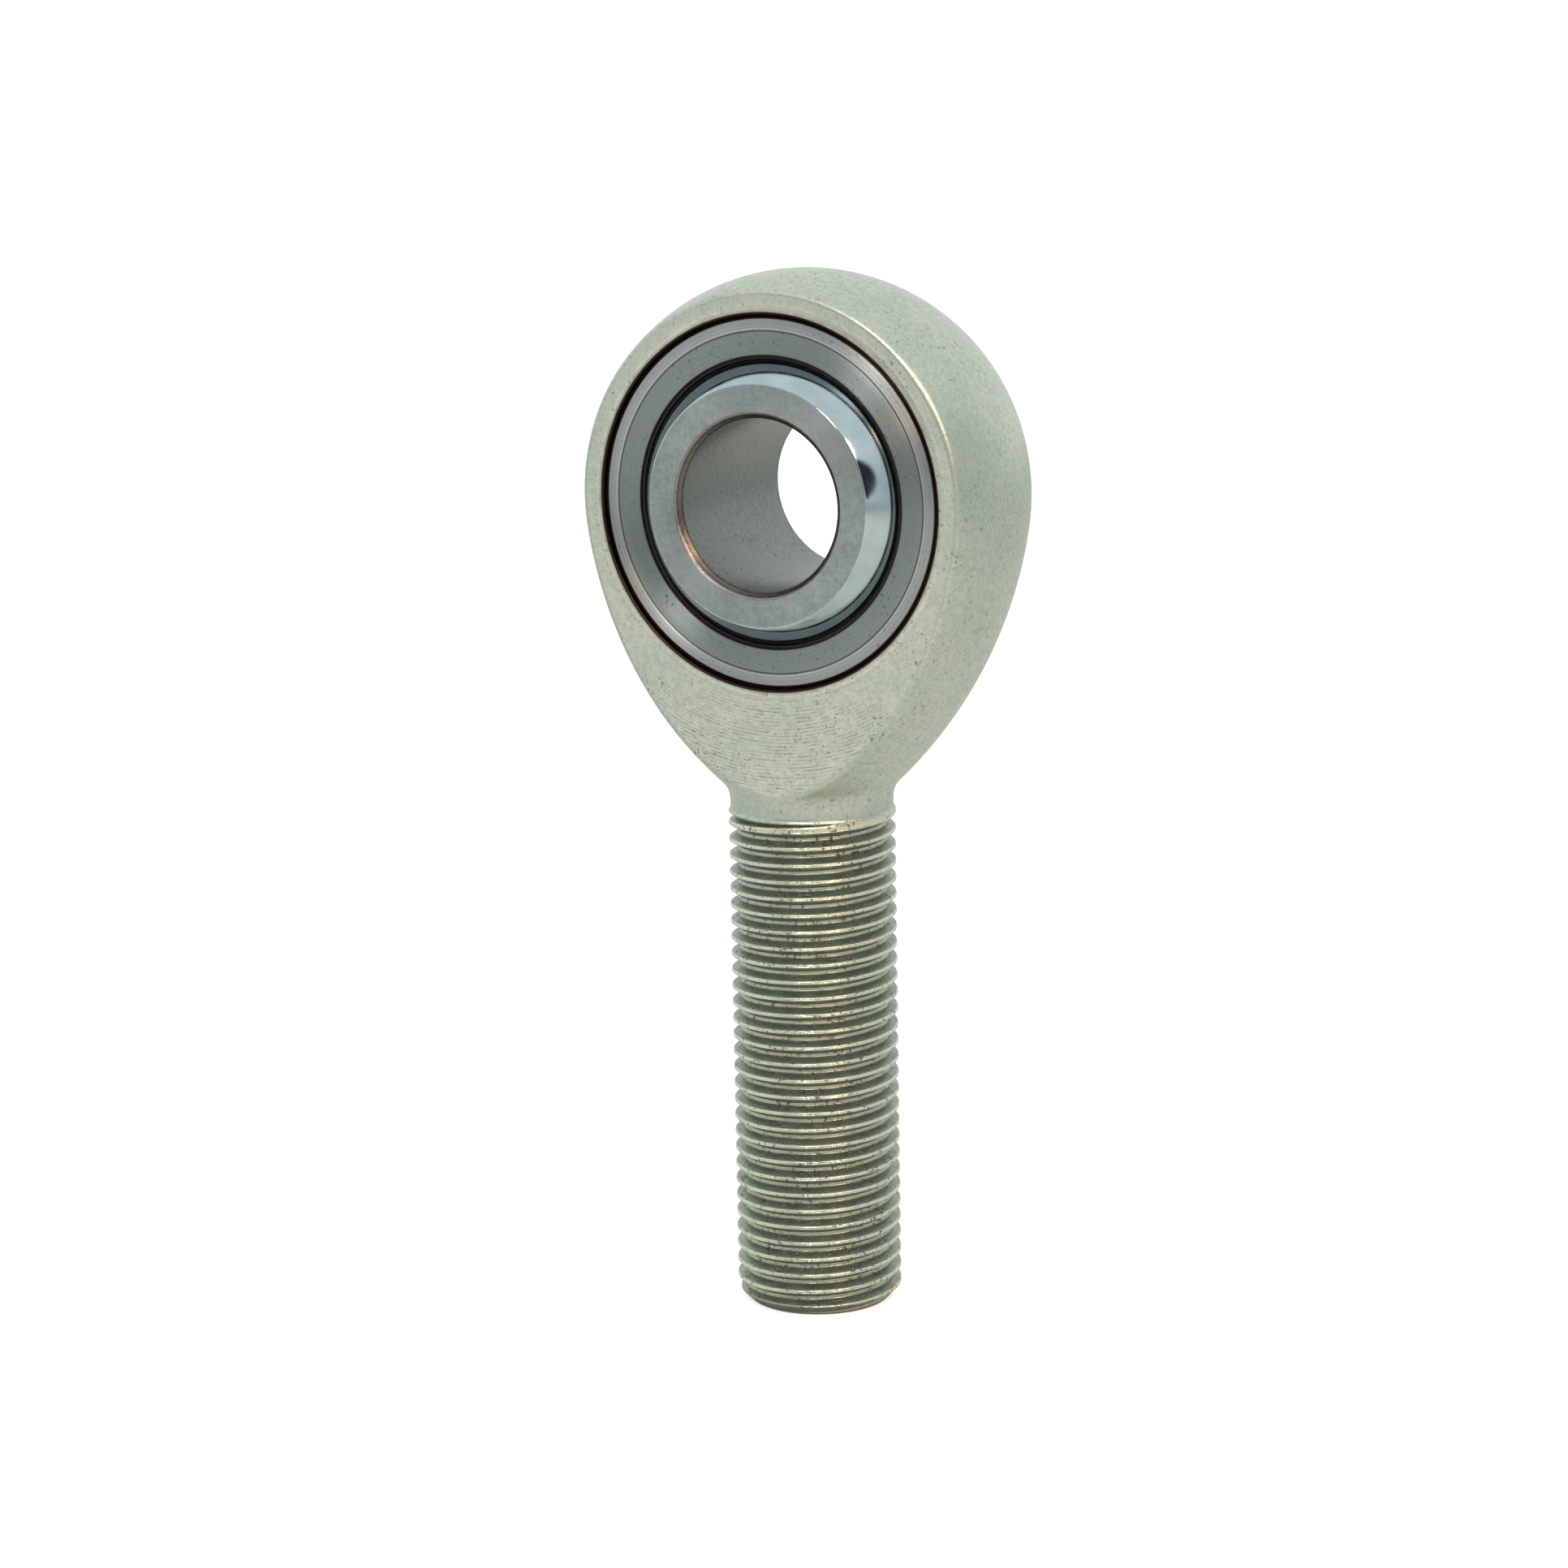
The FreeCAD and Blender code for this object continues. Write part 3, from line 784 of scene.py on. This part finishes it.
def plated_steel(name, tint, dullness, milled=False):
    """Zinc plate: satin, faintly yellow-green, with pits, stains and fine handling marks.

    dullness is the roughness that the grain varies about. milled adds the cutter's lines, painted shade at
    the gap round the race and a rusty edge.
    """
    graph = Graph(name)
    cloud = graph.noise(0.22, 4.0, 0.6)
    grain = graph.noise(2.6, 3.0, 0.65)
    fine = graph.specks(3.8, 0.60, 0.68)
    specks = graph.math("MAXIMUM", fine, graph.specks(1.7, 0.66, 0.70))
    stains = graph.ramp(graph.noise(0.5, 5.0, 0.7), 0.60, 0.78)
    cool = (0.91 * tint[0], 0.955 * tint[1], 0.99 * tint[2])
    colour = graph.mix(graph.ramp(cloud, 0.35, 0.65), cool, tint)
    colour = graph.mix(graph.ramp(grain, 0.3, 0.75, 0.0, 0.34), colour, (0.27, 0.28, 0.23))
    colour = graph.mix(graph.math("MULTIPLY", stains, 0.30), colour, (0.27, 0.26, 0.18))
    colour = graph.mix(graph.math("MULTIPLY", specks, 0.60), colour, (0.08, 0.085, 0.065))
    roughness = graph.ramp(grain, 0.25, 0.75, dullness - 0.05, dullness + 0.08)
    roughness = graph.math("ADD", roughness, graph.math("MULTIPLY", stains, 0.10))
    normal = graph.bump(grain, 0.016)
    normal = graph.bump(specks, -0.008, below=normal)
    if milled:
        colour, normal = add_milling(graph, colour, normal)
        # The lip round the race gets painted shade next to its gap, and a rusty edge outside it.
        colour = add_gap_shade_and_rust(graph, colour)
    return graph.finish(colour, roughness, normal)


def thread_steel():
    """The plated thread: crests partly worn bright and partly painted as a highlight, roots with a painted
    highlight, flanks painted darker as shade in the grooves, and small nicks.

    The flank that faces down is painted darker still, as shade on the underside of each thread.
    """
    graph = Graph("plated_thread")
    radius = graph.distance("X", "Y")
    floor = CREST - THREAD_DEPTH
    # Painted highlight on the crests, which are partly also worn, and on the roots; the flanks between keep
    # the darker colour as painted shade in the grooves.
    crest = graph.ramp(radius, (CREST - 0.15) * MM, (CREST - 0.03) * MM)
    root = graph.ramp(radius, (floor + 0.08) * MM, (floor + 0.04) * MM)
    bright = graph.math("MAXIMUM", crest, graph.math("MULTIPLY", root, 0.55))
    smear = graph.noise(0.7, 4.0, 0.65)
    nicks = graph.specks(3.0, 0.58, 0.66)
    # Painted shade: the flank that faces down is darkened by which way its surface faces.
    shaded_underside = graph.ramp(graph.up(), -0.30, -0.75, 0.0, 0.45)
    colour = graph.mix(bright, (0.275, 0.325, 0.265), (0.60, 0.615, 0.49))
    colour = graph.mix(shaded_underside, colour, (0.07, 0.09, 0.09))
    colour = graph.mix(graph.ramp(smear, 0.56, 0.78, 0.0, 0.45), colour, (0.33, 0.25, 0.15))
    colour = graph.mix(graph.math("MULTIPLY", nicks, 0.8), colour, (0.05, 0.05, 0.035))
    roughness = graph.ramp(bright, 0.0, 1.0, 0.40, 0.22)
    roughness = graph.math("ADD", roughness, graph.ramp(smear, 0.3, 0.7, -0.05, 0.10))
    normal = graph.bump(graph.noise(2.4, 4.0, 0.65, stretch=(1, 1, 2)), 0.035)
    normal = graph.bump(nicks, -0.05, below=normal)
    return graph.finish(colour, roughness, normal)


def race_steel():
    """Bare turned steel: blue-grey, brighter outside the turned line, with tool lines and pits."""
    graph = Graph("turned_race")
    radius = graph.distance("X", "Z")
    lines = graph.rings(6.0, 3.0)
    grain = graph.noise(4.0, 3.0, 0.65)
    pits = graph.specks(3.6, 0.62, 0.70)
    outer = graph.ramp(radius, (RACE_DISH - 0.10) * MM, (RACE_DISH + 0.05) * MM)
    colour = graph.mix(outer, (0.25, 0.295, 0.30), (0.36, 0.395, 0.40))
    cloud = graph.ramp(graph.noise(0.25, 4.0), 0.35, 0.7, 0.0, 0.4)
    colour = graph.mix(cloud, colour, (0.29, 0.33, 0.33))
    strong = graph.math("ADD", graph.math("MULTIPLY", outer, 0.40), 0.20)
    lit = graph.math("MULTIPLY", graph.ramp(lines, 0.42, 0.72), strong)
    colour = graph.mix(lit, colour, (0.52, 0.54, 0.54))
    colour = graph.mix(graph.math("MULTIPLY", pits, 0.6), colour, (0.03, 0.03, 0.028))
    # Painted shade: the fine turned line is drawn as a dark band, as the shade in its groove.
    groove = graph.band(radius, RACE_LINE, 0.09)
    colour = graph.mix(graph.math("MULTIPLY", groove, 0.7), colour, (0.05, 0.05, 0.05))
    # Painted highlight: a bright band beside the turned line.
    painted_glint = graph.band(radius, RACE_DISH + 0.07, 0.08)
    colour = graph.mix(graph.math("MULTIPLY", painted_glint, 0.6), colour, (0.62, 0.64, 0.64))
    # Painted shade: the rim's chamfer and the mouth next to the liner are darkened, as the shade in the
    # gaps.
    rim = (RACE_RADIUS - RACE_CHAMFER) * MM
    colour = graph.mix(graph.ramp(radius, rim - 0.05 * MM, rim + 0.03 * MM), colour, GAP_SHADE)
    mouth = RACE_MOUTH * MM
    colour = graph.mix(graph.ramp(radius, mouth + 0.16 * MM, mouth + 0.08 * MM), colour, GAP_SHADE)
    roughness = graph.ramp(lines, 0.3, 0.7, 0.42, 0.50)
    normal = graph.bump(lines, 0.006)
    normal = graph.bump(grain, 0.004, below=normal)
    graph.turned(0.92)
    return graph.finish(colour, roughness, normal)


def liner_cloth():
    """The dark liner: matt, with a fine woven grain."""
    graph = Graph("woven_liner")
    weave = graph.noise(5.0, 2.0, 0.7)
    colour = graph.mix(graph.ramp(weave, 0.35, 0.7), (0.004, 0.005, 0.006), (0.02, 0.02, 0.022))
    roughness = graph.ramp(weave, 0.3, 0.7, 0.7, 0.95)
    normal = graph.bump(weave, 0.05)
    return graph.finish(colour, roughness, normal, metallic=0.0)


def chrome_steel():
    """Hard chrome on the sphere: mirror bright, with faint smears and hairlines."""
    graph = Graph("chromed_sphere")
    smear = graph.noise(0.5, 4.0, 0.6)
    hair = graph.ramp(graph.noise(5.0, 1.0, 0.5, stretch=(0.15, 1, 1)), 0.66, 0.72)
    colour = graph.mix(graph.ramp(smear, 0.3, 0.75), (0.36, 0.45, 0.48), (0.43, 0.525, 0.555))
    roughness = graph.ramp(smear, 0.3, 0.8, 0.06, 0.14)
    normal = graph.bump(hair, 0.0002)
    return graph.finish(colour, roughness, normal)


def ground_steel():
    """The ball's ground faces: fine turning rings under random scratches."""
    graph = Graph("ground_face")
    lines = graph.rings(8.0, 3.0)
    grain = graph.noise(2.6, 4.0, 0.7)
    scratches = graph.ramp(graph.noise(2.6, 2.0, 0.6, stretch=(1, 1, 0.15)), 0.62, 0.72)
    cloud = graph.noise(0.3, 4.0)
    colour = graph.mix(graph.ramp(cloud, 0.3, 0.7), (0.29, 0.335, 0.34), (0.355, 0.40, 0.40))
    colour = graph.mix(graph.ramp(lines, 0.45, 0.75, 0.0, 0.25), colour, (0.50, 0.53, 0.53))
    colour = graph.mix(graph.ramp(grain, 0.35, 0.75, 0.0, 0.40), colour, (0.16, 0.17, 0.17))
    colour = graph.mix(graph.math("MULTIPLY", scratches, 0.35), colour, (0.50, 0.52, 0.52))
    roughness = graph.ramp(grain, 0.3, 0.7, 0.34, 0.44)
    normal = graph.bump(lines, 0.004)
    normal = graph.bump(scratches, 0.006, below=normal)
    graph.turned(0.7)
    return graph.finish(colour, roughness, normal)


def bored_steel():
    """The honed bore: satin grey-green with small pits and a brownish broken edge."""
    graph = Graph("honed_bore")
    depth = graph.math("ABSOLUTE", graph.parts["Y"])
    rim = graph.ramp(depth, (BALL_HALF - BORE_CHAMFER - 0.10) * MM, (BALL_HALF - BORE_CHAMFER) * MM)
    grain = graph.noise(2.2, 4.0, 0.65, stretch=(1, 2.5, 1))
    pits = graph.specks(3.0, 0.62, 0.70)
    lines = graph.rings(6.0, 3.0)
    colour = graph.mix(graph.ramp(grain, 0.3, 0.7), (0.13, 0.15, 0.14), (0.25, 0.27, 0.255))
    ring_colour = graph.mix(graph.ramp(lines, 0.40, 0.60), (0.09, 0.07, 0.06), (0.27, 0.255, 0.245))
    colour = graph.mix(graph.math("MULTIPLY", rim, 0.75), colour, ring_colour)
    colour = graph.mix(graph.math("MULTIPLY", pits, 0.5), colour, (0.05, 0.05, 0.045))
    roughness = graph.ramp(grain, 0.3, 0.7, 0.28, 0.44)
    normal = graph.bump(grain, 0.010)
    normal = graph.bump(pits, -0.02, below=normal)
    return graph.finish(colour, roughness, normal)


# ---------------------------------------------------------------- stage, light and camera
FLOOR_HALF = 3000
FLOOR_GAP = 0.02                     # between the floor and the shank's end
FLOOR_GLOW = 0.6                     # lifts the floor towards white, for the camera only


def make_floor():
    """A wide pale floor, level with the shank's end."""
    mesh = bpy.data.meshes.new("floor")
    corners = [(-1, -1), (1, -1), (1, 1), (-1, 1)]
    level = (SHANK_END - FLOOR_GAP) * MM
    points = [(x * FLOOR_HALF * MM, y * FLOOR_HALF * MM, level) for x, y in corners]
    mesh.from_pydata(points, [], [(0, 1, 2, 3)])
    floor = bpy.data.objects.new("floor", mesh)
    bpy.context.scene.collection.objects.link(floor)
    graph = Graph("pale_floor")
    grain = graph.noise(0.02, 2.0)
    colour = graph.mix(grain, (0.66, 0.68, 0.67), (0.70, 0.72, 0.71))
    graph.shader.inputs["Emission Color"].default_value = (1, 1, 1, 1)
    seen = graph.node("ShaderNodeLightPath").outputs["Is Camera Ray"]
    graph.set(graph.shader.inputs["Emission Strength"], graph.math("MULTIPLY", seen, FLOOR_GLOW))
    mesh.materials.append(graph.finish(colour, 0.9, graph.bump(grain, 0.01), metallic=0.0))


def direction(azimuth, elevation):
    """Unit vector from the object towards an azimuth, 0 being the -Y side, and an elevation."""
    a, e = math.radians(azimuth), math.radians(elevation)
    return Vector((math.sin(a) * math.cos(e), -math.cos(a) * math.cos(e), math.sin(e)))


# The surroundings that the metal reflects: a white tent with two duller areas and one dark spot.
# Each lobe: its azimuth and elevation, the angles from there at which it starts and is full, all in
# degrees, and its colour.
SKY_WHITE = (1.04, 1.06, 1.04)
LOBES = [
    (6, 4, 48, 14, (0.20, 0.22, 0.22)),
    (108, 0, 45, 10, (0.66, 0.70, 0.69)),
    (66, 14, 15, 11, (0.03, 0.03, 0.045)),
]


def make_world():
    """White where the camera sees it. All other rays find the tent with its lobes."""
    world = bpy.data.worlds.new("studio")
    bpy.context.scene.world = world
    world.use_nodes = True
    tree = world.node_tree

    def add(kind, links=(), values=(), **settings):
        node = tree.nodes.new(kind)
        for key, value in settings.items():
            setattr(node, key, value)
        for key, value in dict(values).items():
            node.inputs[key].default_value = value
        for key, socket in dict(links).items():
            tree.links.new(socket, node.inputs[key])
        return node

    def blend(share, colour, other):
        links = {"Factor": share, MIX_A: colour}
        node = add("ShaderNodeMix", links, {MIX_B: (*other, 1)}, data_type="RGBA")
        return node.outputs[MIX_RESULT]

    place = add("ShaderNodeTexCoord").outputs["Generated"]
    colour = add("ShaderNodeRGB").outputs[0]
    colour.default_value = (*SKY_WHITE, 1)
    for azimuth, elevation, outer, inner, shade in LOBES:
        aim = {1: direction(azimuth, elevation)}
        near = add("ShaderNodeVectorMath", {0: place}, aim, operation="DOT_PRODUCT")
        limits = {
            "From Min": math.cos(math.radians(outer)),
            "From Max": math.cos(math.radians(inner)),
        }
        share = add(
            "ShaderNodeMapRange",
            {"Value": near.outputs["Value"]},
            limits,
            interpolation_type="SMOOTHSTEP",
        )
        colour = blend(share.outputs[0], colour, shade)
    seen = add("ShaderNodeLightPath").outputs["Is Camera Ray"]
    colour = blend(seen, colour, (1, 1, 1))
    tree.links.new(colour, tree.nodes["Background"].inputs["Color"])


# Each lamp: name, azimuth and elevation in degrees, watts and colour.
LAMP_DISTANCE = 420
LAMP_SIZE = 70
LAMPS = [
    ("warm_lamp", 56, 36, 0.62, (1.0, 0.64, 0.38)),
    ("front_lamp", 12, 38, 0.55, (1.0, 0.92, 0.82)),
]


def make_lights():
    """Square lamps. They face a point a third of the way from the ball's centre to the shank's end."""
    middle = Vector((0, 0, SHANK_END / 3))
    for name, azimuth, elevation, watts, colour in LAMPS:
        data = bpy.data.lights.new(name, "AREA")
        data.shape = "SQUARE"
        data.size = LAMP_SIZE * MM
        data.energy = watts
        data.color = colour
        lamp = bpy.data.objects.new(name, data)
        away = direction(azimuth, elevation)
        lamp.location = (middle + away * LAMP_DISTANCE) * MM
        lamp.rotation_mode = "QUATERNION"
        lamp.rotation_quaternion = (-away).to_track_quat("-Z", "Y")
        bpy.context.scene.collection.objects.link(lamp)


# The camera stands 277 mm from the ball, a little above it and to its right.
CAMERA_AZIMUTH = 27.68
CAMERA_ELEVATION = 7.02
CAMERA_DISTANCE = 277.3
CAMERA_AIM = Vector((-2.36, 0.0, -22.11))
CAMERA_ROLL = math.radians(-1.07)
LENS_MM = 85.7
SENSOR_MM = 36.0


def make_camera():
    """The camera looks from its place at CAMERA_AIM and is then rolled about its line of sight."""
    data = bpy.data.cameras.new("camera")
    data.sensor_width = SENSOR_MM
    data.lens = LENS_MM
    data.clip_start = 0.01
    data.clip_end = 20.0
    camera = bpy.data.objects.new("camera", data)
    place = direction(CAMERA_AZIMUTH, CAMERA_ELEVATION) * CAMERA_DISTANCE
    back = (place - CAMERA_AIM).normalized()
    level = Vector((0, 0, 1)).cross(back).normalized()
    right = level * math.cos(CAMERA_ROLL) + back.cross(level) * math.sin(CAMERA_ROLL)
    turn = Matrix((right, back.cross(right), back)).transposed()
    camera.rotation_mode = "QUATERNION"
    camera.rotation_quaternion = turn.to_quaternion()
    camera.location = place * MM
    bpy.context.scene.collection.objects.link(camera)
    bpy.context.scene.camera = camera


# ---------------------------------------------------------------- the scene
turned = plated_steel("plated_turned", tint=(0.505, 0.56, 0.48), dullness=0.37)
milled = plated_steel("plated_milled", tint=(0.645, 0.675, 0.58), dullness=0.34, milled=True)
make_body(turned, milled, thread_steel())
make_race(race_steel())
make_liner(liner_cloth())
make_ball(chrome_steel(), ground_steel(), bored_steel())
make_floor()
make_world()
make_lights()
make_camera()
bpy.context.scene.view_settings.view_transform = "Standard"
